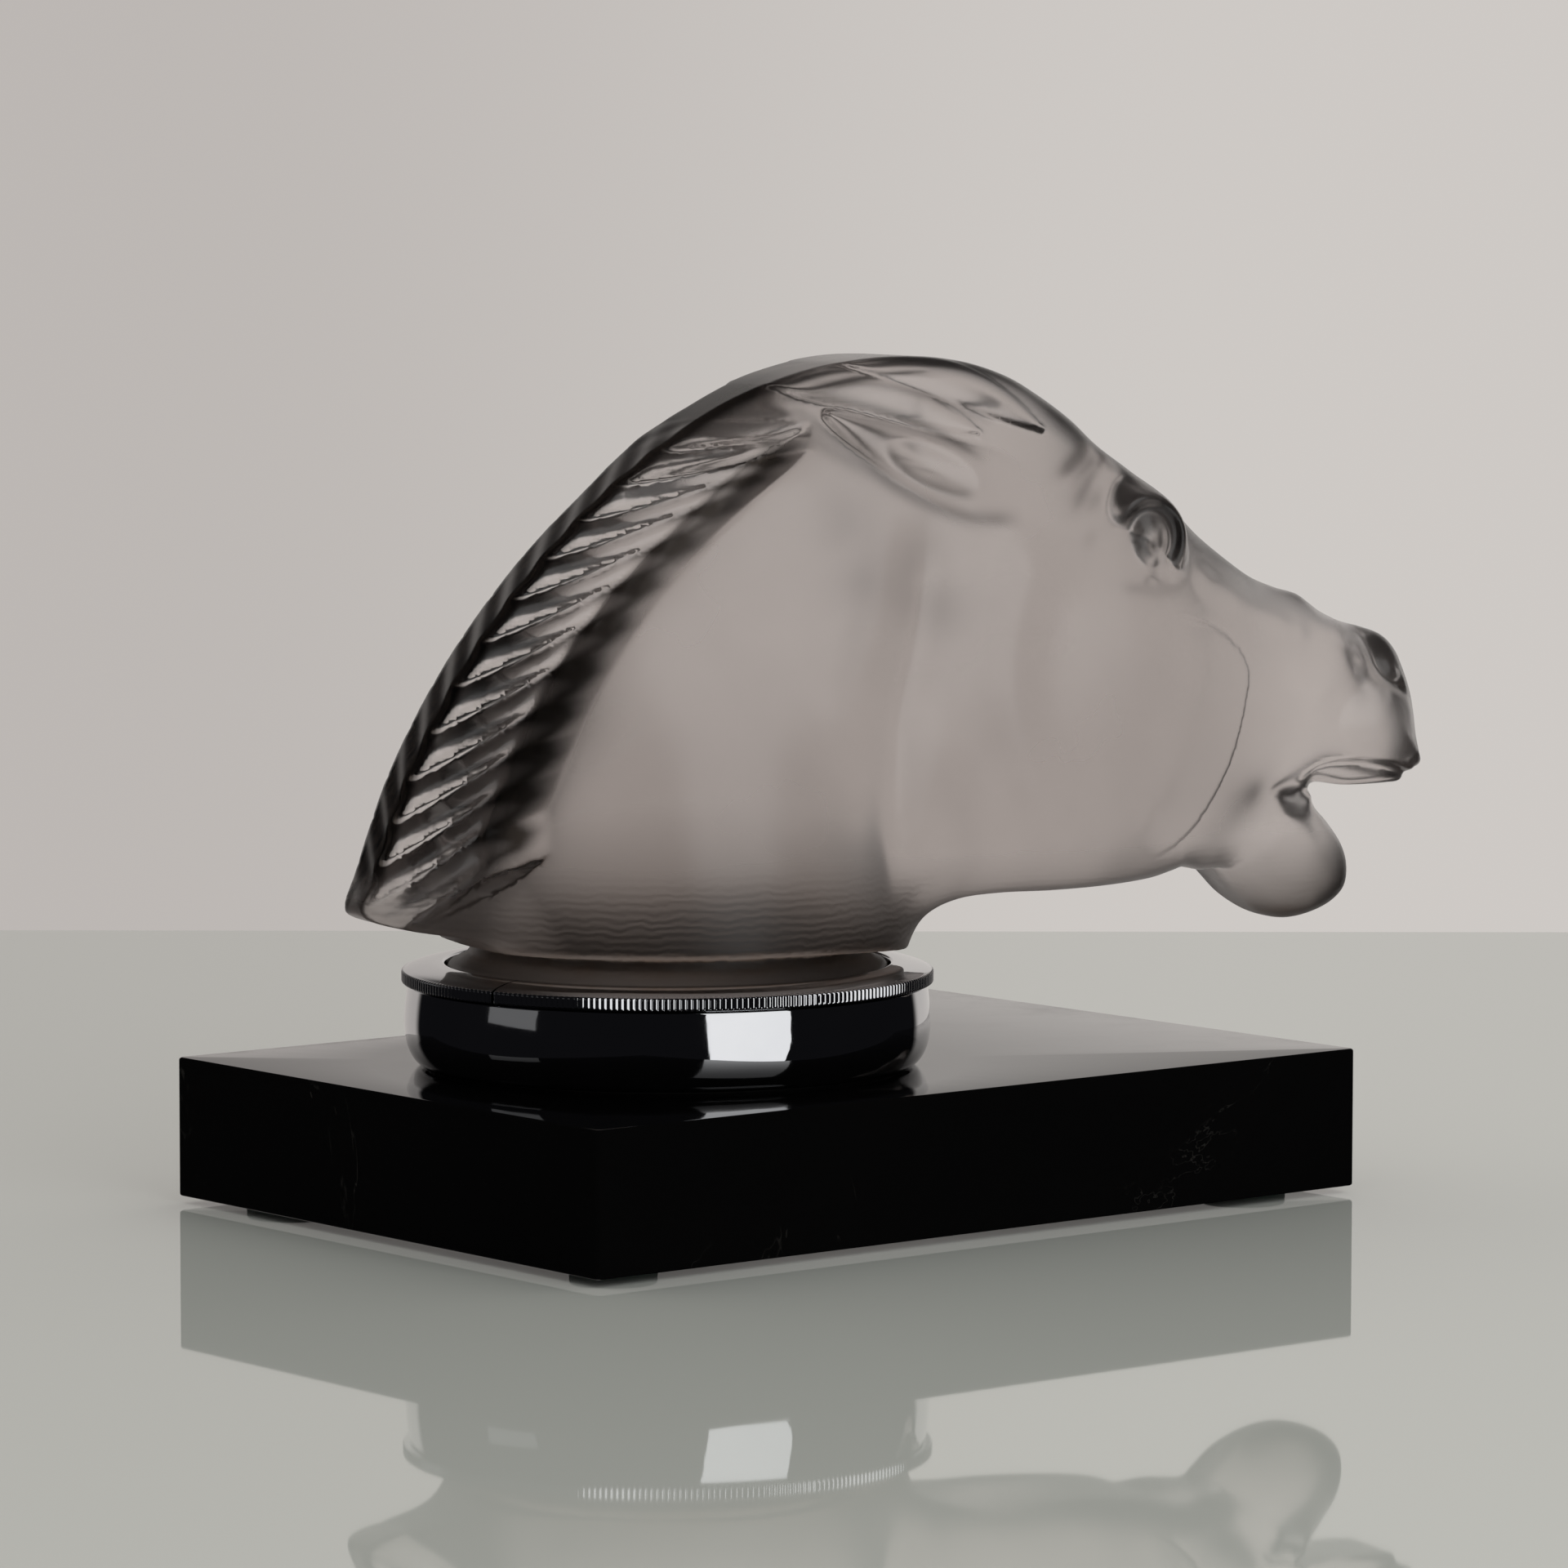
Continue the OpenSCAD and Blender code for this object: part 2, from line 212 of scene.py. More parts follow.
# --- Glass head: relief on each side ---
# Locks are numbered up the crest, from FIRST at the mane's lower tip to LOCKS at the poll
FIRST, LOCKS = -1.3, 12.6
LOCK_AT, LOCK_REACH = [-1, 0, 3, 6, 8, 9, 10, 11, LOCKS], [30, 29, 29.5, 31.5, 34.5, 32.5, 29, 23, 12]
LEAN_AT, LOCK_LEAN = [-1, 0, 4, 8, 10, LOCKS], [30, 28, 22, 13, 6, -3]
RIB_HEIGHT = 0.85
# Half-thickness of the glass at the crest, and how much it grows for each mm in from there
CREST_HALF, CREST_FLARE = 4.9, 0.14
# How far in the smooth band beside the crest reaches
BAND = 0.2
# The grooved rear edge: how far forward it goes, and its grooves' depth
REAR_END, GROOVE = 12, 0.08


def mane_grid(u, z):
    """Lock number and distance from the crest, for each point of the side."""
    crest = smooth_line([p[:2] for p in CREST[:11]])
    along = np.r_[0, np.cumsum(np.linalg.norm(np.diff(crest, axis=0), axis=1))]
    count = 78
    number = np.linspace(FIRST, LOCKS, count)
    at = np.interp(np.clip(number, 0, None), [0, 3, LOCKS], [0, 21.5, along[-1]])
    start = np.c_[np.interp(at, along, crest[:, 0]), np.interp(at, along, crest[:, 1])]
    start[number < 0, 1] += number[number < 0] * 7
    angle = np.radians(np.interp(number, LEAN_AT, LOCK_LEAN))
    heading = np.c_[np.cos(angle), np.sin(angle)]
    bend = -0.003
    offset, reach = [], []
    for p, d in zip(start, heading):
        q = (u - p[0]) * d[0] + (z - p[1]) * d[1]
        offset.append((z - p[1]) * d[0] - (u - p[0]) * d[1] + bend * q * np.abs(q))
        reach.append(q)
    offset, reach = np.array(offset), np.array(reach)
    k = np.clip((offset > 0).sum(0) - 1, 0, count - 2)

    def pick(rows, shift):
        return np.take_along_axis(rows, k[None] + shift, 0)[0]

    lower, upper = pick(offset, 0), pick(offset, 1)
    t = np.clip(lower / (lower - upper + 1e-9), 0, 1)
    q0, q1 = pick(reach, 0), pick(reach, 1)
    return number[k] + t * (number[k + 1] - number[k]), q0 + t * (q1 - q0)


def mane(u, z):
    """Relief, lock number, crest's half-thickness, share of the neck and shade of the mane."""
    number, q = mane_grid(u, z)
    across = 2 * (number - np.floor(number)) - 1
    share = q / np.interp(number, LOCK_AT, LOCK_REACH)
    roof = 1.05 - np.abs(across) ** 2.2 - 0.16 * np.abs(across + 0.05)
    rib = 0.10 * np.exp(-((across + 0.05) / 0.12) ** 2)
    hairs = 0.03 * np.sin(TAU * 2.5 * across) * smoothstep(2, 8, q)
    lobe = 1 - 0.70 * smoothstep(0.52, 0.86, share + 0.12 * across)
    depth = smoothstep(BAND - 1.0, BAND + 0.8, q) * lobe * (1 - smoothstep(0.90, 1.05, share))
    top = 1 - smoothstep(LOCKS - 0.8, LOCKS, number)
    inside = (number > FIRST + 0.02) & (number < LOCKS - 0.01) & (q > -4)
    height = RIB_HEIGHT * (roof + rib + hairs - 0.45) * depth * top
    crest = CREST_HALF + CREST_FLARE * np.maximum(q, 0)
    tongue = 0.80 - 0.22 * np.abs(across + 0.1) ** 1.5
    tip = 1 - smoothstep(0.95, 1.06, share + 0.06 * np.abs(across))
    shade = smoothstep(tongue - 0.07, tongue + 0.10, share) * tip
    shade = np.maximum(shade, 0.5 * smoothstep(0.80, 0.98, np.abs(across)) * (share < 0.9))
    shade = np.maximum(shade, 1 - smoothstep(BAND - 0.9, BAND + 0.3, q))
    shade = np.where(inside, shade, 0) * (1 - smoothstep(LOCKS - 2.4, LOCKS - 1.2, number))
    shade *= smoothstep(FIRST + 0.05, FIRST + 0.5, number)
    neck = smoothstep(0.74, 1.06, share)
    neck = np.where(number < FIRST + 0.05, smoothstep(8, 26, q), neck)
    neck = np.maximum(neck, smoothstep(LOCKS - 3.2, LOCKS - 0.6, number))
    return np.where(inside, height, 0), number, crest, np.where(q > 60, 1, neck), shade


def leaf(u, z, line, half_width, height, sharp=0.5):
    """Pointed lens-shaped swelling along a line."""
    d, _, t = line_distance(u, z, smooth_line(line))
    w = half_width * np.sin(np.pi * np.clip(t, 0.02, 0.98)) ** 0.65
    return height * np.clip(1 - (d / w) ** 2, 0, 1) ** sharp


def ridge(u, z, line, width, height):
    """Rounded ridge, or a groove where height is negative, that fades at its ends."""
    d, _, t = line_distance(u, z, smooth_line(line, 6))
    fade = smoothstep(0, 0.15, t) * (1 - smoothstep(0.85, 1, t))
    return height * np.exp(-(d / width) ** 2) * fade


def dome(u, z, centre, radii, height, turn=0.0, sharp=1.0):
    """Rounded swelling with an elliptical foot."""
    c, s = math.cos(math.radians(turn)), math.sin(math.radians(turn))
    x, y = u - centre[0], z - centre[1]
    r2 = ((c * x + s * y) / radii[0]) ** 2 + ((c * y - s * x) / radii[1]) ** 2
    return height * np.clip(1 - r2, 0, 1) ** sharp


def soft(u, z, centre, radius, height):
    """Gentle round swelling with no edge."""
    return height * np.exp(-((u - centre[0]) ** 2 + (z - centre[1]) ** 2) / radius ** 2)


# The eye's centre, and the half-thickness that its socket is raised to
EYE = (78.3, 109.6)
EYE_HALF = 19.2


def eye(u, z, width):
    """Bulging eyeball in a raised socket, under a heavy lid that stands out over the nose."""
    x, y = u - EYE[0], z - EYE[1]
    r = np.hypot(x, 0.92 * y)
    width = width + np.maximum(EYE_HALF - width, 0) * (1 - smoothstep(4.8, 9.6, r))
    ball = 1.5 * np.clip(1 - (np.hypot(1.08 * (x + 0.4), 0.84 * (y + 0.6)) / 4.1) ** 2, 0, 1) ** 1.3
    above = smoothstep(-0.55, 0.25, np.sin(np.arctan2(y, x) + 0.75))
    crease = -0.4 * np.exp(-((r - 4.7) / 0.8) ** 2) * above
    lid = 1.1 * np.exp(-((r - 6.2) / 1.5) ** 2) * above
    pupil = -0.25 * np.exp(-((x + 0.4) ** 2 + (y + 1.6) ** 2) / 1.0 ** 2)
    return width + ball + crease + lid + pupil


def hollow_shade(u, z):
    """Painted shade: the glass's colour darkened over steep hollows, the lid's crease and the pupil, and
    along the dark lines and spots.
    """
    x, y = u - EYE[0], z - EYE[1]
    r = np.hypot(x, 0.92 * y)
    above = smoothstep(-0.60, 0.35, np.sin(np.arctan2(y, x) + 0.55))
    lid = 0.95 * np.exp(-((r - 5.1) / 0.7) ** 4) * above
    pupil = np.exp(-((x + 0.5) ** 2 + (y + 1.6) ** 2) / 1.1 ** 2)
    h = np.maximum(lid, pupil)
    for line, width, height in DARK_LINES:
        h = np.maximum(h, ridge(u, z, line, width, height))
    for centre, radius, height in DARK_SPOTS:
        h = np.maximum(h, soft(u, z, centre, radius, height))
    return h


def ear(u, z):
    """Ear laid back against the poll: pointed behind, merging with the head in front."""
    axis = smooth_line([(57.0, 114.6), (47.0, 118.4), (34.0, 123.6), (21.0, 130.4)])
    d, _, t = line_distance(u, z, axis)
    w = 7.6 * (1 - t) ** 0.5 * (0.75 + 0.25 * smoothstep(0, 0.3, t))
    rim = 1.9 * smoothstep(0.0, 0.5, t) * np.clip(1 - (d / w) ** 2, 0, 1) ** 0.8
    hollow = dome(u, z, (38.0, 121.6), (9.0, 3.6), 1.7, -22, 1.4)
    return rim - hollow


def forelock(u, z):
    """Two broad locks over the poll, between the ears."""
    low = leaf(u, z, [(14.5, 134.8), (25.0, 134.2), (36.0, 131.8), (48.0, 127.0)], 3.6, 1.0)
    high = leaf(u, z, [(26.0, 138.6), (38.0, 136.9), (49.0, 133.4), (60.0, 127.4)], 3.7, 1.0)
    return np.maximum(low, high)


# Lines on each side: the cheek's front edge, painted shade in the hollows, the nostril and the upper lip
CHEEK = [(80.5, 96.6), (87.0, 95.2), (92.6, 92.2), (96.4, 87.2), (95.6, 80.0), (93.0, 71.5),
         (88.8, 64.2), (83.6, 58.8), (78.0, 55.8)]
# (line, half-width, depth of shade) and (centre, radius, depth of shade)
DARK_LINES = [
    ([(124.4, 93.0), (123.6, 88.5), (125.0, 84.4), (129.0, 81.0), (132.6, 76.0)], 1.3, 0.5),
    ([(134.8, 84.0), (136.0, 79.0), (136.4, 73.5), (134.6, 70.0)], 2.4, 0.75),
    ([(15.0, 133.4), (27.0, 131.6), (38.0, 128.0), (49.0, 122.0)], 0.9, 0.8),
    ([(19.0, 130.4), (25.0, 124.6), (33.0, 117.6), (44.0, 113.4), (55.0, 113.0)], 1.4, 0.65),
    ([(29.5, 126.0), (33.5, 121.0), (40.5, 117.6), (46.0, 117.0)], 0.9, 0.65),
    ([(17.0, 134.6), (28.0, 135.0), (40.0, 132.6), (52.0, 128.0)], 0.7, 0.6),
    ([(121.0, 57.5), (121.6, 52.5), (120.6, 48.5), (115.0, 46.0)], 2.4, 0.6),
]
DARK_SPOTS = [
    ((102.0, 66.0), 4.0, 0.3), ((74.0, 55.5), 5.5, 0.4), ((26.0, 125.0), 3.4, 0.4),
    ((-30.0, 50.0), 9.0, 0.45), ((-36.0, 56.0), 5.0, 0.45), ((77.8, 103.5), 1.0, 0.5),
    ((35.0, 108.0), 4.5, 0.3), ((38.0, 99.0), 5.0, 0.35),
]
NOSTRIL = [(125.2, 93.0), (124.9, 89.0), (125.9, 85.6), (128.8, 83.4), (132.0, 83.4)]
LIP_EDGE = [(106.5, 66.8), (110.5, 69.3), (115.5, 71.0), (121.5, 71.3), (128.0, 70.4), (134.5, 68.4)]


def cheek(u, z):
    """Flat round cheek that stands proud of the muzzle along a crisp line."""
    d, side, t = line_distance(u, z, smooth_line(CHEEK))
    fade = smoothstep(0, 0.12, t) * (1 - smoothstep(0.88, 1, t))
    behind = side < 0
    step = np.where(behind, 0.34 * np.exp(-(d / 12) ** 2), -0.10 * np.exp(-(d / 6) ** 2))
    return (step - 0.13 * np.exp(-(d / 0.6) ** 2)) * fade


def muzzle(u, z):
    """Nostrils, lips and the hollow at the corner of the mouth."""
    h = ridge(u, z, NOSTRIL, 1.4, -0.8)
    h += ridge(u, z, [(122.8, 92.0), (122.4, 88.0), (123.6, 84.0), (127.0, 81.2)], 1.8, 0.4)
    h += dome(u, z, (129.6, 88.0), (3.4, 4.6), 0.7, 0, 1.5)
    h += dome(u, z, (126.5, 76.5), (9.5, 6.5), 1.0, -10)
    h += soft(u, z, (104.5, 66.0), 5.0, -1.5)
    h += soft(u, z, (114.0, 80.0), 6.0, -0.6)
    return h


def chin(u, z):
    """Round chin, with a groove where it meets the jaw."""
    h = dome(u, z, (111.8, 51.6), (13.5, 9.6), 1.0, -22, 1.0)
    return h + ridge(u, z, [(97.0, 52.4), (102.0, 54.6), (107.0, 58.0), (109.6, 63.0)], 1.8, -0.3)


def muscles(u, z):
    """Soft shaping of the neck, jaw and nose."""
    h = ridge(u, z, [(38, 116), (34.5, 96), (30.0, 80), (28.5, 64), (30.5, 46)], 4.5, -1.6)
    h += ridge(u, z, [(58, 113), (51, 97), (50, 82), (57, 66), (66, 58)], 5.5, 1.1)
    h += ridge(u, z, [(86, 104), (96, 99), (106, 94), (113, 91.5)], 2.4, 0.9)
    h += soft(u, z, (76.8, 117.0), 3.6, 1.0)
    h += soft(u, z, (77.8, 103.4), 1.3, -0.3)
    h += soft(u, z, (68, 105), 7.0, -0.3)
    return h


def teeth(u, z, width):
    """The upper teeth stand back from the lip's lower edge."""
    d, side, _ = line_distance(u, z, smooth_line(LIP_EDGE))
    below = (side < 0) & (z < 72) & (u > 105)
    back = 2.9 * smoothstep(0, 1.2, d) * smoothstep(108.5, 115, u) * smoothstep(64.6, 66.2, z)
    return np.where(below, width - back, width)


class Grid:
    """Values on a regular grid over the middle plane, read smoothly between its points."""

    def __init__(self, u, z, values):
        self.u0, self.z0, self.step = u[0], z[0], u[1] - u[0]
        self.values = values

    def __call__(self, u, z):
        a = (u - self.u0) / self.step
        b = (z - self.z0) / self.step
        i = np.clip(np.floor(a).astype(int), 1, self.values.shape[0] - 3)
        j = np.clip(np.floor(b).astype(int), 1, self.values.shape[1] - 3)
        wa, wb = self.weights(a - i), self.weights(b - j)
        out = 0
        for m in range(4):
            row = sum(wb[n] * self.values[i + m - 1, j + n - 1] for n in range(4))
            out = out + wa[m] * row
        return out

    @staticmethod
    def weights(t):
        return (
            0.5 * t * (t * (2 - t) - 1),
            0.5 * (t * t * (3 * t - 5) + 2),
            0.5 * t * (t * (4 - 3 * t) + 1),
            0.5 * t * t * (t - 1),
        )


def blur(a, times):
    for _ in range(times):
        p = np.pad(a, 1, mode="edge")
        a = (p[:-2, 1:-1] + p[2:, 1:-1] + p[1:-1, :-2] + p[1:-1, 2:] + 4 * a) / 8
    return a


def head_fields(step):
    """What head_field needs over the middle plane, and the glass's polish and painted shade there."""
    u = np.arange(-60, 142, step)
    z = np.arange(28, 144, step)
    uu, zz = np.meshgrid(u, z, indexing="ij")
    outline = smooth_line(CREST + FACE + MOUTH + THROAT, 7, True)
    dist, radius = outline_distance(uu, zz, outline)
    width = thin_plate(WIDTHS)(uu, zz)
    relief, number, crest, neck, shade = mane(uu, zz)
    width = crest + (width - crest) * neck
    width = width + relief + muscles(uu, zz) + cheek(uu, zz) + muzzle(uu, zz) + chin(uu, zz)
    width = eye(uu, zz, width + ear(uu, zz) + forelock(uu, zz))
    width = np.clip(teeth(uu, zz, width), 2.5, 36)
    radius = np.minimum(blur(radius, 3), 0.97 * width)
    rear = uu < REAR_END
    groove = GROOVE * np.cos(TAU * number) * (1 - smoothstep(2, 6, np.abs(dist)))
    groove *= smoothstep(0, 1, number) * (1 - smoothstep(LOCKS - 2, LOCKS - 0.5, number)) * rear
    sine = GROOVE * np.sin(TAU * number) * (groove != 0) * (1 - smoothstep(2, 6, np.abs(dist)))
    polish = np.where((number > FIRST + 0.1) & (number < LOCKS - 0.01) & rear, 1 - neck, 0)
    polish = np.maximum(0.5 * polish, 0.3 * (forelock(uu, zz) > 0.1))
    # Painted shade for the glass's colour: the mane's shade, the marks in the hollows, and a dark rim
    # along the outline of the rear above the neck's base.
    edge = smoothstep(-2.2, -0.9, dist) * smoothstep(54, 58, zz) * (1 - smoothstep(REAR_END, 30, uu))
    painted_shade = np.maximum(np.maximum(shade, hollow_shade(uu, zz)), edge)
    values = dict(dist=dist, width=width, radius=radius, groove=groove, sine=sine,
                  polish=blur(polish, 6), painted_shade=blur(painted_shade, 2))
    return {name: Grid(u, z, a) for name, a in values.items()}


def foot_distance(rho, z):
    """Signed distance to the turned foot's section."""
    section = np.c_[np.array(FOOT, float), np.zeros(len(FOOT))]
    return outline_distance(rho, z, section)[0]


def head_field(u, v, z, f):
    """Signed distance, near the surface, of the glass without its foot. f holds the plane's values."""
    slant = 0.11 * v
    dist = f["dist"] + f["groove"] * np.cos(TAU * slant) + f["sine"] * np.sin(TAU * slant)
    a = dist + f["radius"]
    b = np.abs(v) - f["width"] + f["radius"]
    body = np.minimum(np.maximum(a, b), 0) + np.hypot(np.maximum(a, 0), np.maximum(b, 0)) - f["radius"]
    rho = np.hypot(u - NECK_U, v)
    neck = (np.sqrt((rho / NECK_R) ** 2 + ((z - NECK_Z) / NECK_H) ** 2) - 1) * NECK_R
    body = smooth_min(body, neck, 7.0)
    cut = CUT_Z - CUT_DROP * np.maximum(u + 2, 0) ** 2 - z
    return -smooth_min(-body, -cut, 0.7)


def whole_field(u, v, z, f):
    """Signed distance to the glass with its foot."""
    body = head_field(u, v, z, f)
    low = z < FOOT_TOP
    foot = foot_distance(np.where(low, np.hypot(u, v), 99), z)
    return np.where(low, np.minimum(body, foot), body)


def surface_net(values, origin, step):
    """Quads on the zero surface of a grid of values: one vertex in each mixed cell."""
    neg = values < 0
    nx, ny, nz = values.shape
    corners = [(i, j, k) for i in (0, 1) for j in (0, 1) for k in (0, 1)]

    def part(a, c):
        return a[c[0]:nx - 1 + c[0], c[1]:ny - 1 + c[1], c[2]:nz - 1 + c[2]]

    count = sum(part(neg, c).astype(np.int8) for c in corners)
    mixed = (count > 0) & (count < 8)
    cell = np.argwhere(mixed)
    number = np.full(mixed.shape, -1, np.int32)
    number[mixed] = np.arange(len(cell))
    total, hits = np.zeros((len(cell), 3)), np.zeros(len(cell))
    for axis in range(3):
        for c in corners:
            if c[axis]:
                continue
            e = list(c)
            e[axis] = 1
            fa = values[tuple((cell + c).T)]
            fb = values[tuple((cell + e).T)]
            cross = (fa < 0) != (fb < 0)
            t = np.where(cross, fa / np.where(cross, fa - fb, 1), 0)
            point = cell + np.array(c, float)
            point[:, axis] += t
            total += np.where(cross[:, None], point, 0)
            hits += cross
    verts = origin + step * total / hits[:, None]
    faces = []
    for axis in range(3):
        o1, o2 = [(1, 2), (2, 0), (0, 1)][axis]
        lo = [slice(None)] * 3
        hi = [slice(None)] * 3
        lo[axis], hi[axis] = slice(0, -1), slice(1, None)
        cross = neg[tuple(lo)] != neg[tuple(hi)]
        edge = np.argwhere(cross)
        keep = (edge[:, o1] > 0) & (edge[:, o2] > 0)
        keep &= (edge[:, o1] < values.shape[o1] - 1) & (edge[:, o2] < values.shape[o2] - 1)
        edge = edge[keep]
        solid_first = neg[tuple(edge.T)]
        d1, d2 = np.zeros(3, int), np.zeros(3, int)
        d1[o1], d2[o2] = 1, 1
        quad = np.stack([number[tuple((edge - s).T)] for s in (d1 + d2, d2, 0 * d1, d1)], 1)
        faces.append(np.where(solid_first[:, None], quad, quad[:, ::-1]))
    return verts, np.vstack(faces)


def settle(verts, faces, field, rounds, step):
    """Evens the vertices out along the surface, then puts each back on it."""
    pairs = np.vstack([faces[:, [0, 1]], faces[:, [1, 2]], faces[:, [2, 3]], faces[:, [3, 0]]])
    for _ in range(rounds):
        total = np.zeros_like(verts)
        hits = np.zeros(len(verts))
        for a, b in (pairs.T, pairs.T[::-1]):
            for axis in range(3):
                total[:, axis] += np.bincount(a, verts[b, axis], len(verts))
            hits += np.bincount(a, minlength=len(verts))
        verts = verts + 0.6 * (total / hits[:, None] - verts)
        for _ in range(2):
            value = field(verts)
            slope = np.empty_like(verts)
            for axis in range(3):
                shift = np.zeros(3)
                shift[axis] = 0.1
                slope[:, axis] = (field(verts + shift) - field(verts - shift)) / 0.2
            size = (slope ** 2).sum(1)
            move = value / np.maximum(size, 0.25)
            verts = verts - slope * np.clip(move, -step, step)[:, None]
    return verts


def glass_mesh(step):
    """Vertices and quads of the whole glass, with its polish and shade at each vertex."""
    grids = head_fields(PLANE_STEP)
    finish = {name: grids.pop(name) for name in ("polish", "painted_shade")}
    u = np.arange(-57, 140, step)
    v = np.arange(-39, 39 + step / 2, step)
    z = np.arange(31, 141.5, step)
    uu, zz = np.meshgrid(u, z, indexing="ij")
    plane = {k: g(uu, zz)[:, None, :].astype(np.float32) for k, g in grids.items()}
    values = head_field(
        u[:, None, None].astype(np.float32), v[None, :, None].astype(np.float32),
        z[None, None, :].astype(np.float32), plane)
    low = int(np.searchsorted(z, FOOT_TOP))
    foot = foot_distance(
        *np.broadcast_arrays(np.hypot(u[:, None, None], v[None, :, None]), z[None, None, :low]))
    values[:, :, :low] = np.minimum(values[:, :, :low], foot)
    verts, faces = surface_net(values, np.array([u[0], v[0], z[0]]), step)

    def field(p):
        f = {k: g(p[:, 0], p[:, 2]) for k, g in grids.items()}
        return whole_field(p[:, 0], p[:, 1], p[:, 2], f)

    verts = settle(verts, faces, field, 3, step)
    finish = {name: np.clip(g(verts[:, 0], verts[:, 2]), 0, 1) for name, g in finish.items()}
    return verts, faces, finish


# --- Meshes ---
def rotated(points, angle):
    """Points turned about Z."""
    c, s = math.cos(angle), math.sin(angle)
    out = np.array(points, float)
    out[:, 0], out[:, 1] = c * points[:, 0] - s * points[:, 1], s * points[:, 0] + c * points[:, 1]
    return out


def piece(name, verts, faces, body, look, nodes, sharp=None):
    """A mesh object from millimetres, riding on its body and standing for its CAD nodes."""
    mesh = bpy.data.meshes.new(name)
    mesh.from_pydata((np.asarray(verts, float) * MM).tolist(), [], [list(f) for f in faces])
    mesh.update()
    mesh.shade_smooth()
    if sharp is not None:
        mesh.set_sharp_from_angle(angle=math.radians(sharp))
    mesh.materials.append(look)
    obj = bpy.data.objects.new(name, mesh)
    bpy.context.scene.collection.objects.link(obj)
    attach(obj, body)
    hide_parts(*nodes)
    return obj


def turned(section, count, start=0.0, end=TAU, shape=None):
    """Turns a closed (radius, height) section about Z, whole or as a capped part turn."""
    whole = abs(end - start - TAU) < 1e-6
    angles = np.linspace(start, end, count + 1)
    angles = angles[:-1] if whole else angles
    section = np.array(section, float)
    n = len(section)
    radius = np.repeat(section[None, :, 0], len(angles), 0)
    height = np.repeat(section[None, :, 1], len(angles), 0)
    if shape is not None:
        radius, height = shape(angles[:, None], radius, height)
    verts = np.stack([radius * np.cos(angles)[:, None], radius * np.sin(angles)[:, None], height], 2)
    faces = []
    for i in range(len(angles) if whole else len(angles) - 1):
        a, b = i * n, ((i + 1) % len(angles)) * n
        for j in range(n):
            k = (j + 1) % n
            faces.append((a + j, b + j, b + k, a + k))
    if not whole:
        last = (len(angles) - 1) * n
        faces.append(tuple(range(n)))
        faces.append(tuple(last + j for j in range(n - 1, -1, -1)))
    return verts.reshape(-1, 3), faces


def on_mount(verts):
    """Moves points from the mount's axis to its place on the plinth."""
    return np.asarray(verts) + np.array([MOUNT_X, MOUNT_Y, 0])


def arc(centre, r, start, end, count):
    """Points on an arc in a section, with angles in degrees."""
    a = np.radians(np.linspace(start, end, count))
    return [(centre[0] + r * math.cos(t), centre[1] + r * math.sin(t)) for t in a]


def thread(r, depth, z, turns, pitch):
    """Rounded thread grooves down a wall, from radius r, as section points."""
    rows = []
    for i in range(turns):
        mid = z + i * pitch
        for dz, share in ((-0.35, 0), (-0.22, 0.55), (0, 1), (0.22, 0.55), (0.35, 0)):
            rows.append((r + depth * share, mid + dz * pitch))
    return rows[::-1]


CUP_LO, CUP_HI = (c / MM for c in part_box("mount_cup"))
RING_LO, RING_HI = (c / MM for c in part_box("clamp_ring_left"))
PLINTH_LO, PLINTH_HI = (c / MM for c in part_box("plinth"))
CUP_R = (CUP_HI.x - CUP_LO.x) / 2
RIM_R = CUP_R + 0.5
THREAD_PITCH, THREADS, THREAD_DEPTH = 1.5, 3, 0.4
CUP_FACETS = 288
FLUTES = 296
FLUTE_DEPTH = 0.24
SPLIT = math.radians(12)
SAW_CUT = 0.4
SIDE_STEPS = 20


def cup_section():
    """Barrelled drum with a threaded bore, a ledge for the ring and a well for the foot."""
    z0, top = CUP_LO.z, CUP_HI.z
    barrel = smooth_line(
        [(CUP_R - 2.6, z0), (CUP_R - 1.75, z0 + 0.6), (CUP_R - 0.95, z0 + 1.8), (CUP_R - 0.35, z0 + 3.4),
         (CUP_R - 0.05, z0 + 5.4), (CUP_R, z0 + 7.2), (CUP_R - 0.12, z0 + 9.2), (CUP_R - 0.34, z0 + 11.2),
         (CUP_R - 0.55, top - 0.35)], 4)
    bore, ledge, well = CUP_R - 2.2, z0 + 6.6, CUP_R - 9.9
    rows = [(4.2, z0 + 0.3), (4.5, z0), (20, z0), (CUP_R - 3.6, z0)] + [tuple(p) for p in barrel]
    rows += arc((CUP_R - 0.85, top - 0.3), 0.3, 20, 90, 4) + [(bore + 0.3, top), (bore, top - 0.3)]
    rows += thread(bore, THREAD_DEPTH, ledge + 1.6, THREADS, THREAD_PITCH)
    rows += [(bore, ledge), (well + 0.3, ledge), (well, ledge - 0.3), (well, z0 + 3.6)]
    rows += arc((well - 0.6, z0 + 3.6), 0.6, -15, -90, 4) + [(20, z0 + 3), (4.5, z0 + 3), (4.2, z0 + 2.7)]
    return rows


def mount_cup(look):
    verts, faces = turned(cup_section(), CUP_FACETS)
    return piece("mount_cup_shell", on_mount(verts), faces, "base", look,
                 ["mount_cup"], 32)


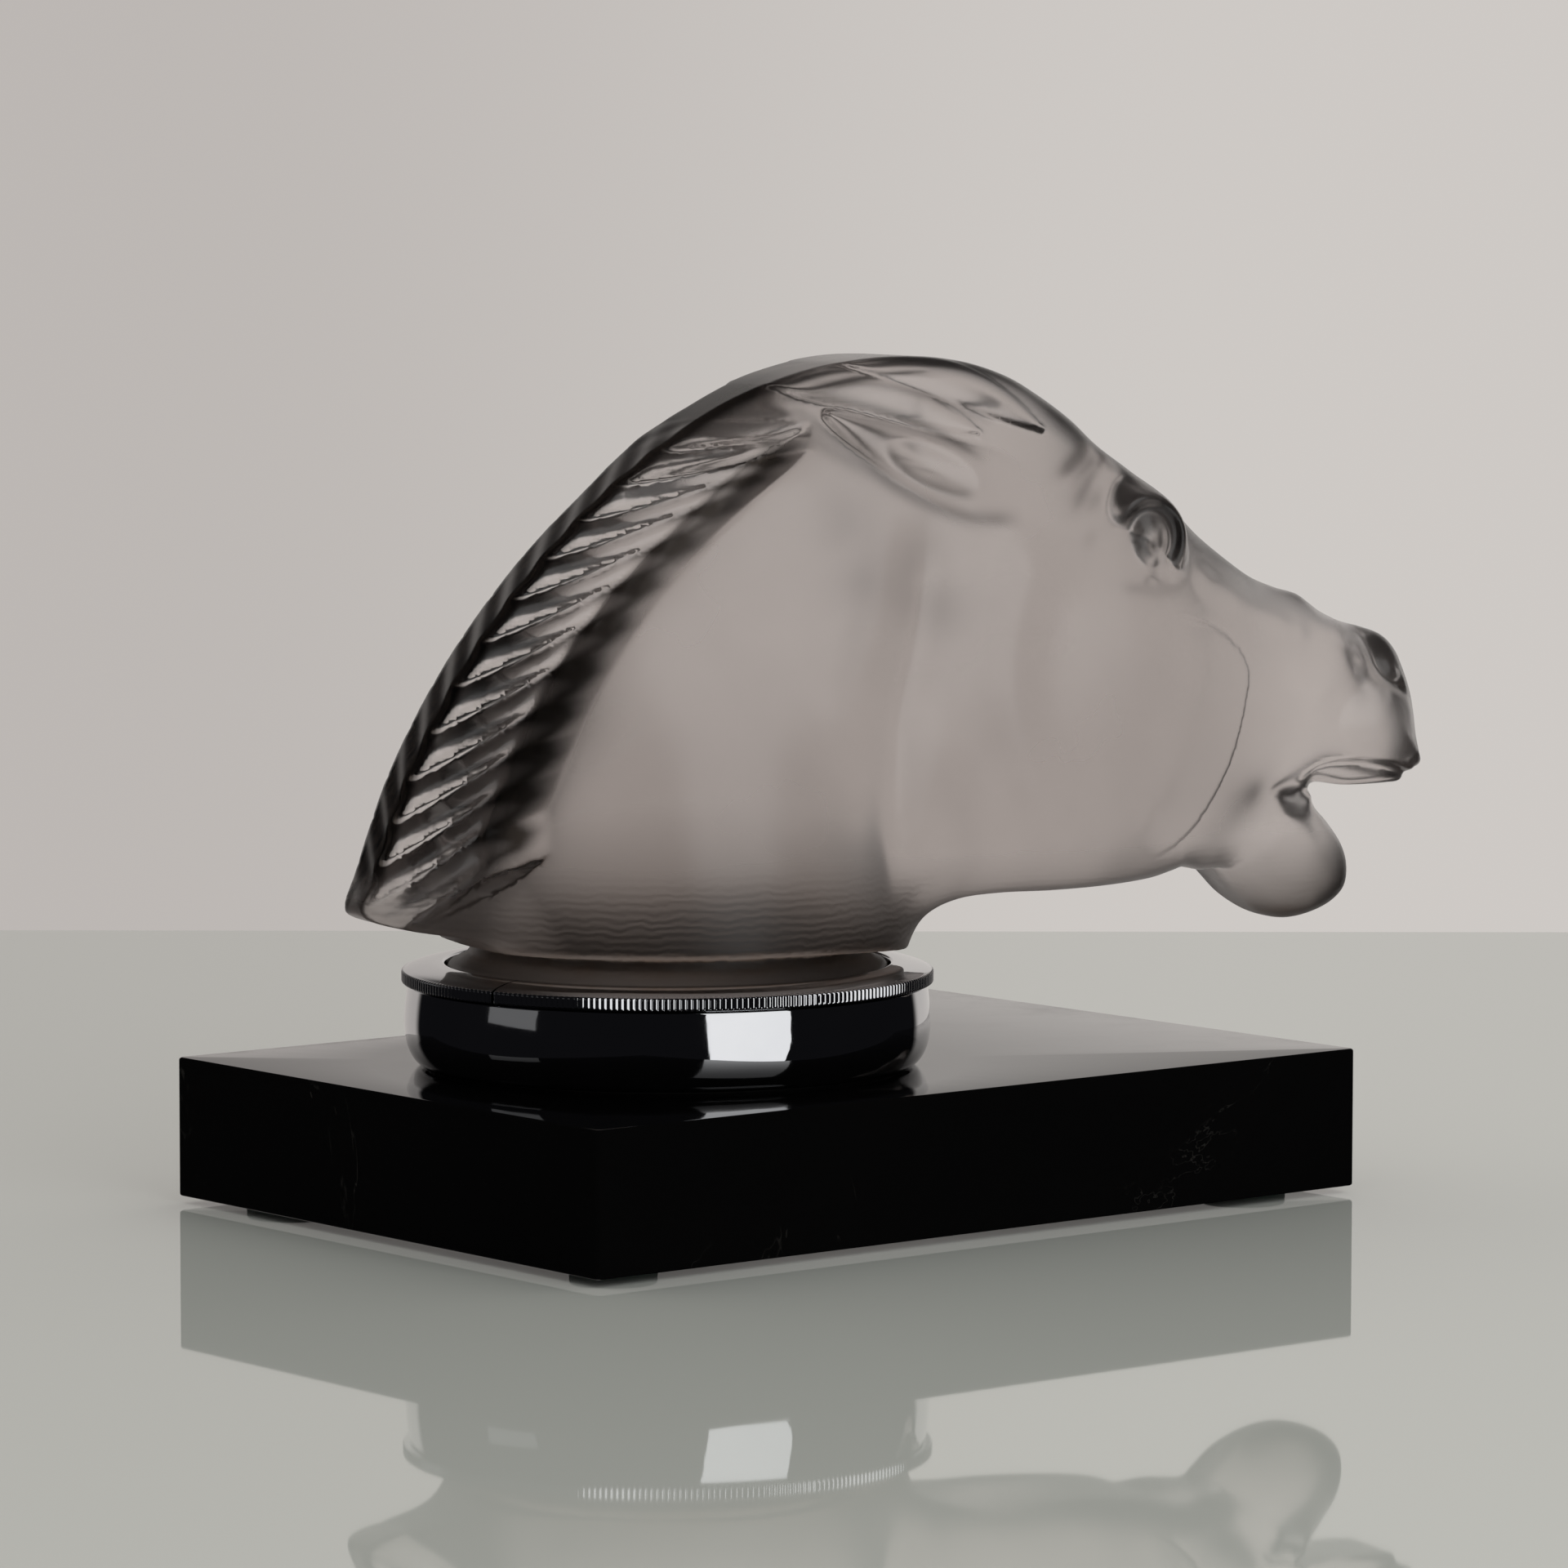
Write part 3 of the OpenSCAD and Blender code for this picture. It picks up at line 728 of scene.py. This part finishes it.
def ring_section():
    """Domed ring with a rolled rim, an inner lip and a threaded skirt."""
    top, skirt_z = RING_HI.z, RING_LO.z
    opening, skirt, inner = CUP_R - 6.6, CUP_R - 2.3, CUP_R - 4.4
    lip, under = top - 1.9, top - 3.3
    crown = smooth_line(
        [(opening + 0.5, top - 0.02), (opening + 2.2, top - 0.1), (opening + 4.2, top - 0.42),
         (opening + 5.8, top - 0.82), (RIM_R - 0.5, top - 1.18)], 4)
    rows = [(opening, lip), (opening, top - 0.6)] + arc((opening + 0.45, top - 0.45), 0.43, 180, 95, 5)
    rows += [tuple(p) for p in crown] + arc((RIM_R - 0.42, top - 1.62), 0.42, 75, 5, 5)
    rows += [(RIM_R, top - z) for z in (1.8, 2.1, 2.4, 2.7)]
    rows += arc((RIM_R - 0.42, under + 0.42), 0.42, -5, -85, 5)
    rows += [(skirt + 0.2, under), (skirt, under - 0.2)]
    rows += thread(skirt, -THREAD_DEPTH, skirt_z + 1.2, THREADS, THREAD_PITCH)
    rows += [(skirt, skirt_z + 0.3), (skirt - 0.3, skirt_z)]
    rows += [(inner + 0.3, skirt_z), (inner, skirt_z + 0.3)]
    rows += [(inner, lip - 0.3), (inner - 0.3, lip)]
    return rows


def ring_half(name, node, turn, look):
    """Half of the clamp ring, with rounded flutes milled into its rim."""
    gap = SAW_CUT / 2 / RIM_R
    under, top = RING_HI.z - 3.3, RING_HI.z - 1.15

    def flutes(angle, radius, height):
        wave = np.abs(np.sin(FLUTES / 2 * angle))
        band = smoothstep(under - 0.02, under + 0.35, height)
        band *= 1 - smoothstep(top - 0.3, top + 0.12, height)
        outer = smoothstep(RIM_R - 0.9, RIM_R - 0.35, radius)
        return radius - FLUTE_DEPTH * (1 - wave) * band * outer, height

    verts, faces = turned(ring_section()[::-1], FLUTES * 3, turn + gap, turn + math.pi - gap, flutes)
    return piece(name, on_mount(verts), faces, "clamp_ring", look, [node], 40)


def rounded_rectangle(half_l, half_w, r):
    """Cut corners joined by evenly divided sides, counter-clockwise."""
    pts = []
    for k, (sx, sy) in enumerate(((1, 1), (-1, 1), (-1, -1), (1, -1))):
        pts += arc((sx * (half_l - r), sy * (half_w - r)), r, 90 * k, 90 * k + 90, 2)
    out = []
    for a, b in zip(pts, pts[1:] + pts[:1]):
        a, b = np.array(a), np.array(b)
        steps = SIDE_STEPS if np.linalg.norm(b - a) > 3 * r else 1
        out += [tuple(a + (b - a) * i / steps) for i in range(steps)]
    return np.array(out)


def plinth(look):
    """Polished block with soft arrises, bored for the bolt and recessed for its nut."""
    lo, hi = PLINTH_LO, PLINTH_HI
    half_l, half_w = (hi.x - lo.x) / 2, (hi.y - lo.y) / 2
    edge, corner = 0.45, 0.5
    bolt_r, recess_r, recess_top = 4.3, 13, lo.z + 11
    loops = []

    def outer(inset, z):
        ring = rounded_rectangle(half_l - inset, half_w - inset, corner)
        loops.append(np.c_[ring, np.full(len(ring), z)])

    def inner(r, z):
        ring = rounded_rectangle(half_l, half_w, corner) - [MOUNT_X, MOUNT_Y]
        ring *= (r / np.linalg.norm(ring, axis=1))[:, None]
        loops.append(np.c_[ring + [MOUNT_X, MOUNT_Y], np.full(len(ring), z)])

    shares = ((1, 0), (0.62, 0.06), (0.3, 0.3), (0.06, 0.62), (0, 1))
    bevel = [(a * edge, b * edge) for a, b in shares]
    for share in (0.55, 0.25, 0.06):
        inner(recess_r + (half_w - recess_r) * (1 - share) * 0.9, lo.z)
    for inset, rise in bevel:
        outer(inset, lo.z + rise)
    for inset, rise in bevel[::-1]:
        outer(inset, hi.z - rise)
    for share in (0.06, 0.25, 0.55, 0.85):
        inner(bolt_r + (half_w - bolt_r) * (1 - share) * 0.9, hi.z)
    for r, z in ((bolt_r + 0.2, hi.z), (bolt_r, hi.z - 0.2), (bolt_r, recess_top),
                 (recess_r - 0.4, recess_top), (recess_r, recess_top - 0.4),
                 (recess_r, lo.z + 0.3), (recess_r + 0.3, lo.z)):
        inner(r, z)
    count = len(loops[0])
    faces = []
    for i in range(len(loops)):
        a, b = i * count, ((i + 1) % len(loops)) * count
        faces += [(a + j, a + (j + 1) % count, b + (j + 1) % count, b + j) for j in range(count)]
    return piece("marble_plinth", np.vstack(loops), faces, "base", look, ["plinth"], 25)


def felt_pad(node, look):
    """Slightly squashed felt disc with a ragged edge."""
    lo, hi = (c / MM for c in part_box(node))
    r, t = (hi.x - lo.x) / 2, hi.z - lo.z
    seed = len(node) + node.count("r")

    def ragged(angle, radius, height):
        bite = sum(np.sin(k * angle + seed * k) / k for k in (3, 7, 11, 17, 29, 43))
        share = smoothstep(0.8 * r, r, radius)
        return radius - share * (0.16 + 0.055 * bite), height

    rows = [(0.01, lo.z), (0.5 * r, lo.z), (r - 0.35, lo.z)] + arc((r - 0.3, lo.z + 0.3), 0.3, -70, 0, 4)
    rows += [(r + 0.04, lo.z + t / 2)] + arc((r - 0.2, hi.z - 0.2), 0.2, 0, 80, 4)
    rows += [(r - 0.3, hi.z), (0.5 * r, hi.z), (0.01, hi.z)]
    verts, faces = turned(rows, 96, shape=ragged)
    centre = np.array([(lo.x + hi.x) / 2, (lo.y + hi.y) / 2, 0])
    return piece("felt_" + node, verts + centre, faces, "base", look, [node], 50)


# --- Materials ---
def add_node(tree, kind, inputs=(), **settings):
    """A shader node with its settings, and a value or a link for each input given."""
    node = tree.nodes.new("ShaderNode" + kind)
    for key, value in settings.items():
        setattr(node, key, value)
    for key, value in inputs:
        if hasattr(value, "links"):
            tree.links.new(value, node.inputs[key])
        else:
            node.inputs[key].default_value = value
    return node


class Look:
    """A node material being built round one Principled shader."""

    def __init__(self, name, **sockets):
        self.material = bpy.data.materials.new(name)
        self.material.use_nodes = True
        self.tree = self.material.node_tree
        self.shader = self.tree.nodes["Principled BSDF"]
        self.output = self.tree.nodes["Material Output"]
        self.place = self.add("TexCoord").outputs["Object"]
        for key, value in sockets.items():
            self.shader.inputs[key.replace("_", " ")].default_value = value

    def add(self, kind, inputs=(), **settings):
        return add_node(self.tree, kind, inputs, **settings)

    def drive(self, key, value):
        """Links a node's output to one of the shader's inputs."""
        self.tree.links.new(value, self.shader.inputs[key])

    def noise(self, scale, detail=3.0, rough=0.55, twist=0.0, stretch=None):
        place = self.place
        if stretch:
            place = self.add("Mapping", (("Vector", place), ("Scale", stretch))).outputs["Vector"]
        values = (("Vector", place), ("Scale", scale), ("Detail", detail), ("Roughness", rough),
                  ("Distortion", twist))
        return self.add("TexNoise", values).outputs["Fac"]

    def bands(self, scale, twist):
        """Level wavy bands."""
        values = (("Vector", self.place), ("Scale", scale), ("Distortion", twist), ("Detail", 2.0),
                  ("Detail Scale", 1.2))
        return self.add("TexWave", values, bands_direction="Z").outputs["Fac"]

    def axis(self, name):
        return self.add("SeparateXYZ", ((0, self.place),)).outputs[name]

    def spread(self, value, low, high, out_low=0.0, out_high=1.0):
        """Maps low to out_low and high to out_high, and holds past them."""
        values = (("Value", value), ("From Min", low), ("From Max", high), ("To Min", out_low),
                  ("To Max", out_high))
        return self.add("MapRange", values).outputs[0]

    def math(self, kind, a, b=0):
        return self.add("Math", ((0, a), (1, b)), operation=kind).outputs[0]

    def blend(self, share, a, b):
        return self.add("Mix", (("Factor", share), (6, a), (7, b)), data_type="RGBA").outputs[2]

    def bump(self, height, distance, strength=1.0):
        """Adds a bump on top of those already there."""
        node = self.add("Bump", (("Strength", strength), ("Distance", distance), ("Height", height)))
        normal = self.shader.inputs["Normal"]
        if normal.is_linked:
            self.tree.links.new(normal.links[0].from_socket, node.inputs["Normal"])
        self.drive("Normal", node.outputs[0])


def satin_glass():
    """Acid-frosted pressed glass: clear and faintly smoky, with mould ripples low on the neck, a brown
    stain at the waist and painted shade, darker low on the neck and almost black in the hollows.
    """
    look = Look("satin_glass", Transmission_Weight=1.0, IOR=1.5)
    cloud = look.noise(28, 3)
    polish = look.add("Attribute", attribute_name="polish").outputs["Fac"]
    frost = look.spread(cloud, 0.3, 0.7, 0.22, 0.29)
    height = look.axis("Z")
    frost = look.math("ADD", frost, look.spread(height, 0.050, 0.060, 0.2, 0.0))
    look.drive("Roughness", look.math("MULTIPLY", frost, look.spread(polish, 0, 1, 1, 0.4)))
    low = look.math("MULTIPLY", look.spread(height, 0.0405, 0.043), look.spread(height, 0.0475, 0.044))
    stain = look.math("MULTIPLY", low, look.noise(140, 4, stretch=(1, 1, 2.5)))
    cloudy = look.spread(look.noise(22, 5), 0.35, 0.65)
    milky = look.blend(cloudy, (0.77, 0.745, 0.735, 1), (0.92, 0.89, 0.88, 1))
    # Painted shade: the glass is darker grey low on the neck, towards the foot.
    low_shaded = look.blend(look.spread(height, 0.045, 0.059), (0.22, 0.20, 0.185, 1), milky)
    stained = look.blend(look.spread(stain, 0.15, 0.6), low_shaded, (0.16, 0.11, 0.08, 1))
    # Painted shade: this attribute darkens the glass's colour almost to black in the hollows, between the
    # locks and along the rear edge.
    painted_shade = look.add("Attribute", attribute_name="painted_shade").outputs["Fac"]
    look.drive("Base Color", look.blend(painted_shade, stained, (0.012, 0.010, 0.008, 1)))
    ripple = look.math("MULTIPLY", look.bands(250, 5.0), look.spread(height, 0.060, 0.049))
    look.bump(ripple, 0.00003, 0.8)
    look.bump(look.noise(60, 1), 0.00006, 0.5)
    depth = look.add("VolumeAbsorption", (("Color", (0.80, 0.775, 0.765, 1)), ("Density", 34)))
    look.tree.links.new(depth.outputs[0], look.output.inputs["Volume"])
    return look.material


def chrome():
    """Bright old plating with hairline scratches and a little haze."""
    look = Look("chrome_plate", Metallic=1.0)
    haze = look.noise(60, 4)
    look.drive("Base Color", look.blend(haze, (0.54, 0.55, 0.57, 1), (0.66, 0.66, 0.67, 1)))
    look.drive("Roughness", look.spread(haze, 0.4, 0.75, 0.025, 0.09))
    look.bump(look.noise(900, 2, stretch=(1, 1, 0.15)), 0.000006, 0.5)
    look.bump(look.noise(26, 2), 0.00006, 0.5)
    return look.material


def marble():
    """Polished black marble with a few hair-thin pale veins and rubbed patches."""
    look = Look("black_marble", IOR=1.38)
    warp = look.noise(14, 5, 0.6, 1.2)
    vein = look.math("ABSOLUTE", look.math("SUBTRACT", look.noise(9, 6, 0.62, 2.0), 0.5))
    thin = look.spread(vein, 0.0025, 0.0)
    thin = look.math("MULTIPLY", thin, look.spread(warp, 0.56, 0.72))
    ground = look.blend(warp, (0.0022, 0.0022, 0.0023, 1), (0.0045, 0.0043, 0.0042, 1))
    thin = look.math("MULTIPLY", thin, 0.8)
    look.drive("Base Color", look.blend(thin, ground, (0.09, 0.085, 0.078, 1)))
    rub = look.noise(45, 5, 0.7)
    look.drive("Roughness", look.spread(rub, 0.35, 0.8, 0.035, 0.13))
    look.bump(look.noise(240, 3), 0.00001, 0.5)
    return look.material


def felt():
    """Green baize, matt and a little fuzzy."""
    look = Look("green_felt", Roughness=0.95, Sheen_Weight=0.35, Sheen_Roughness=0.5)
    fibre = look.noise(1400, 4, 0.7, 0.8)
    look.drive("Base Color", look.blend(fibre, (0.006, 0.035, 0.022, 1), (0.022, 0.095, 0.062, 1)))
    look.bump(fibre, 0.00025)
    return look.material


def speckled(name, dark, light, scale, rough, depth):
    """Matt mottled stuff: rubber, cork or fibre packing."""
    look = Look(name)
    grain = look.noise(scale, 5, 0.65)
    look.drive("Base Color", look.blend(look.spread(grain, 0.3, 0.7), dark, light))
    look.drive("Roughness", look.spread(grain, 0.3, 0.7, rough - 0.08, rough + 0.08))
    look.bump(grain, depth)
    return look.material


def worked_steel(name, dark, light, rough):
    """Turned steel: fine tool lines and dull patches."""
    look = Look(name, Metallic=1.0)
    patch = look.noise(160, 4)
    look.drive("Base Color", look.blend(patch, dark, light))
    look.drive("Roughness", look.spread(patch, 0.3, 0.7, rough - 0.07, rough + 0.1))
    look.bump(look.noise(1500, 2, stretch=(1, 1, 0.2)), 0.00002, 0.6)
    return look.material


def dress(node, look):
    """Gives a carried-over CAD node its material."""
    mesh = frame["nodes"][node].data
    mesh.materials.clear()
    mesh.materials.append(look)


# --- Stage ---
# The photo's viewpoint, the table's size and how far right of ahead the glass is lit from
CAMERA_AT = Vector((-0.69248, -0.85141, 0.16332))
VIEW_AZ, VIEW_EL, VIEW_ROLL = (math.radians(a) for a in (39.2416, 4.9262, 0.07))
FORWARD = Vector((math.sin(VIEW_AZ), math.cos(VIEW_AZ), 0))
RIGHT = Vector((math.cos(VIEW_AZ), -math.sin(VIEW_AZ), 0))
LENS = 153.58
TABLE_HALF = 0.409
LIT_TURN = math.radians(11)


def camera():
    """The photo's camera: a long lens, a little above the table."""
    data = bpy.data.cameras.new("camera")
    data.lens = LENS
    data.sensor_width = 36
    data.clip_start = 0.05
    data.clip_end = 50
    obj = bpy.data.objects.new("camera", data)
    bpy.context.scene.collection.objects.link(obj)
    ahead = FORWARD * math.cos(VIEW_EL) - Vector((0, 0, math.sin(VIEW_EL)))
    up = RIGHT.cross(ahead)
    c, s = math.cos(VIEW_ROLL), math.sin(VIEW_ROLL)
    side, top = RIGHT * c + up * s, up * c - RIGHT * s
    obj.matrix_world = Matrix((
        (side.x, top.x, -ahead.x, CAMERA_AT.x), (side.y, top.y, -ahead.y, CAMERA_AT.y),
        (side.z, top.z, -ahead.z, CAMERA_AT.z), (0, 0, 0, 1)))
    bpy.context.scene.camera = obj


def table_top():
    """Plain pale glossy table under the object, square to the camera."""
    look = Look("pale_table", Roughness=0.025, IOR=1.4)
    look.drive("Base Color", look.blend(look.noise(2, 2), (0.80, 0.84, 0.785, 1), (0.82, 0.86, 0.805, 1)))
    mesh = bpy.data.meshes.new("table_top")
    h = TABLE_HALF
    places = ((-3, -2.2), (-3, 2.2), (1, 2.2), (1, -2.2))
    corners = [FORWARD * (a * h) + RIGHT * (b * h) for a, b in places]
    mesh.from_pydata([tuple(c) for c in corners], [], [(0, 1, 2, 3)])
    mesh.materials.append(look.material)
    obj = bpy.data.objects.new("table_top", mesh)
    bpy.context.scene.collection.objects.link(obj)
    obj.visible_glossy = False
    obj.visible_transmission = False


def softbox(name, bearing, elevation, distance, width, height, power):
    """Area light aimed at the object. Bearing is to the right of the camera, from the object."""
    a, e = math.radians(bearing), math.radians(elevation)
    way = (-FORWARD * math.cos(a) + RIGHT * math.sin(a)) * math.cos(e) + Vector((0, 0, math.sin(e)))
    data = bpy.data.lights.new(name, "AREA")
    data.shape = "RECTANGLE"
    data.size = width
    data.size_y = height
    data.energy = power
    obj = bpy.data.objects.new(name, data)
    bpy.context.scene.collection.objects.link(obj)
    obj.location = way * distance + Vector((0, 0, 0.06))
    obj.rotation_euler = (-way).to_track_quat("-Z", "Y").to_euler()


def studio_world():
    """Pale backdrop behind the object, falling off to a dim room on the camera's side."""
    world = bpy.data.worlds.new("studio")
    bpy.context.scene.world = world
    world.use_nodes = True
    tree = world.node_tree
    tree.nodes.clear()

    def add(kind, inputs=(), **settings):
        return add_node(tree, kind, inputs, **settings)

    way = add("TexCoord").outputs["Generated"]

    def along(direction):
        values = ((0, way), (1, tuple(direction)))
        return add("VectorMath", values, operation="DOT_PRODUCT").outputs["Value"]

    ahead, side = along(FORWARD), along(RIGHT)
    paths = add("LightPath")

    def level(value, low, high, out_low, out_high):
        values = (("Value", value), ("From Min", low), ("From Max", high),
                  ("To Min", out_low), ("To Max", out_high))
        return add("MapRange", values, interpolation_type="SMOOTHERSTEP").outputs[0]

    def mix(share, a, b):
        return add("Mix", (("Factor", share), (6, a), (7, b)), data_type="RGBA").outputs[2]

    # The backdrop grows paler to the right
    backdrop = mix(level(side, -0.12, 0.09, 0, 1), (0.505, 0.475, 0.455, 1), (0.615, 0.585, 0.56, 1))
    up = add("SeparateXYZ", ((0, way),)).outputs["Z"]
    # Reflections see the backdrop low and ahead, and a dark room elsewhere
    low_ahead = ((0, level(ahead, 0.72, 0.82, 0, 1)), (1, level(up, 0.20, 0.55, 1, 0)))
    window = add("Math", low_ahead, operation="MULTIPLY").outputs[0]
    room = mix(window, (0.006, 0.006, 0.007, 1), backdrop)
    # Light through the glass: bright ahead, and some from the table and from behind the camera
    dim = mix(level(ahead, -0.5, -0.9, 0, 1), (0.012, 0.012, 0.012, 1), (0.36, 0.35, 0.34, 1))
    toward = along(FORWARD * math.cos(LIT_TURN) + RIGHT * math.sin(LIT_TURN))
    table = mix(level(up, 0.20, -0.15, 0, 1), dim, (0.46, 0.45, 0.44, 1))
    glow = mix(level(toward, 0.58, 0.80, 0, 1), table, (0.62, 0.585, 0.56, 1))
    fill = mix(level(ahead, -0.5, 0.6, 0, 1), (0.3, 0.3, 0.3, 1), (0.6, 0.57, 0.545, 1))
    seen = mix(paths.outputs["Is Transmission Ray"], room, glow)
    seen = mix(paths.outputs["Is Diffuse Ray"], seen, fill)
    seen = mix(paths.outputs["Is Camera Ray"], seen, backdrop)
    shade = add("Background", (("Color", seen), ("Strength", 1.0)))
    out = add("OutputWorld")
    tree.links.new(shade.outputs[0], out.inputs["Surface"])


def build():
    """The stage, the rebuilt pieces and the looks of the carried-over nodes."""
    camera()
    studio_world()
    table_top()
    softbox("key_window", 36, 12, 1.6, 1.1, 2.3, 10)
    softbox("side_window", -70, 8, 2.0, 0.9, 0.45, 0.2)
    plate = chrome()
    mount_cup(plate)
    ring_half("ring_half_left", "clamp_ring_left", SPLIT, plate)
    ring_half("ring_half_right", "clamp_ring_right", SPLIT + math.pi, plate)
    plinth(marble())
    cloth = felt()
    for end in ("front", "rear"):
        for hand in ("left", "right"):
            felt_pad("pad_" + end + "_" + hand, cloth)
    verts, faces, finish = glass_mesh(MESH_STEP)
    head = piece("horse_head_glass", on_mount(rotated(verts, HEAD_YAW)), faces, "head",
                 satin_glass(), ["glass_head"])
    for name, values in finish.items():
        head.data.attributes.new(name, "FLOAT", "POINT").data.foreach_set("value", values)
    rubber = speckled("gasket_rubber", (0.008, 0.008, 0.008, 1), (0.03, 0.028, 0.026, 1), 600, 0.75, 4e-5)
    cork = speckled("gasket_cork", (0.06, 0.035, 0.02, 1), (0.22, 0.14, 0.08, 1), 900, 0.85, 8e-5)
    fibre = speckled("packing_fibre", (0.07, 0.045, 0.03, 1), (0.17, 0.13, 0.1, 1), 1200, 0.85, 5e-5)
    dress("seat_gasket", rubber)
    dress("foot_gasket", cork)
    dress("ring_packing", fibre)
    zinc = worked_steel("zinc_steel", (0.45, 0.44, 0.41, 1), (0.6, 0.59, 0.56, 1), 0.36)
    for node in ("bolt_washer", "mount_bolt", "plinth_washer", "mount_nut"):
        dress(node, zinc)
    spring = worked_steel("spring_steel", (0.16, 0.155, 0.15, 1), (0.27, 0.265, 0.26, 1), 0.42)
    dress("spring_washer", spring)
    bpy.context.scene.view_settings.view_transform = "Standard"


build()
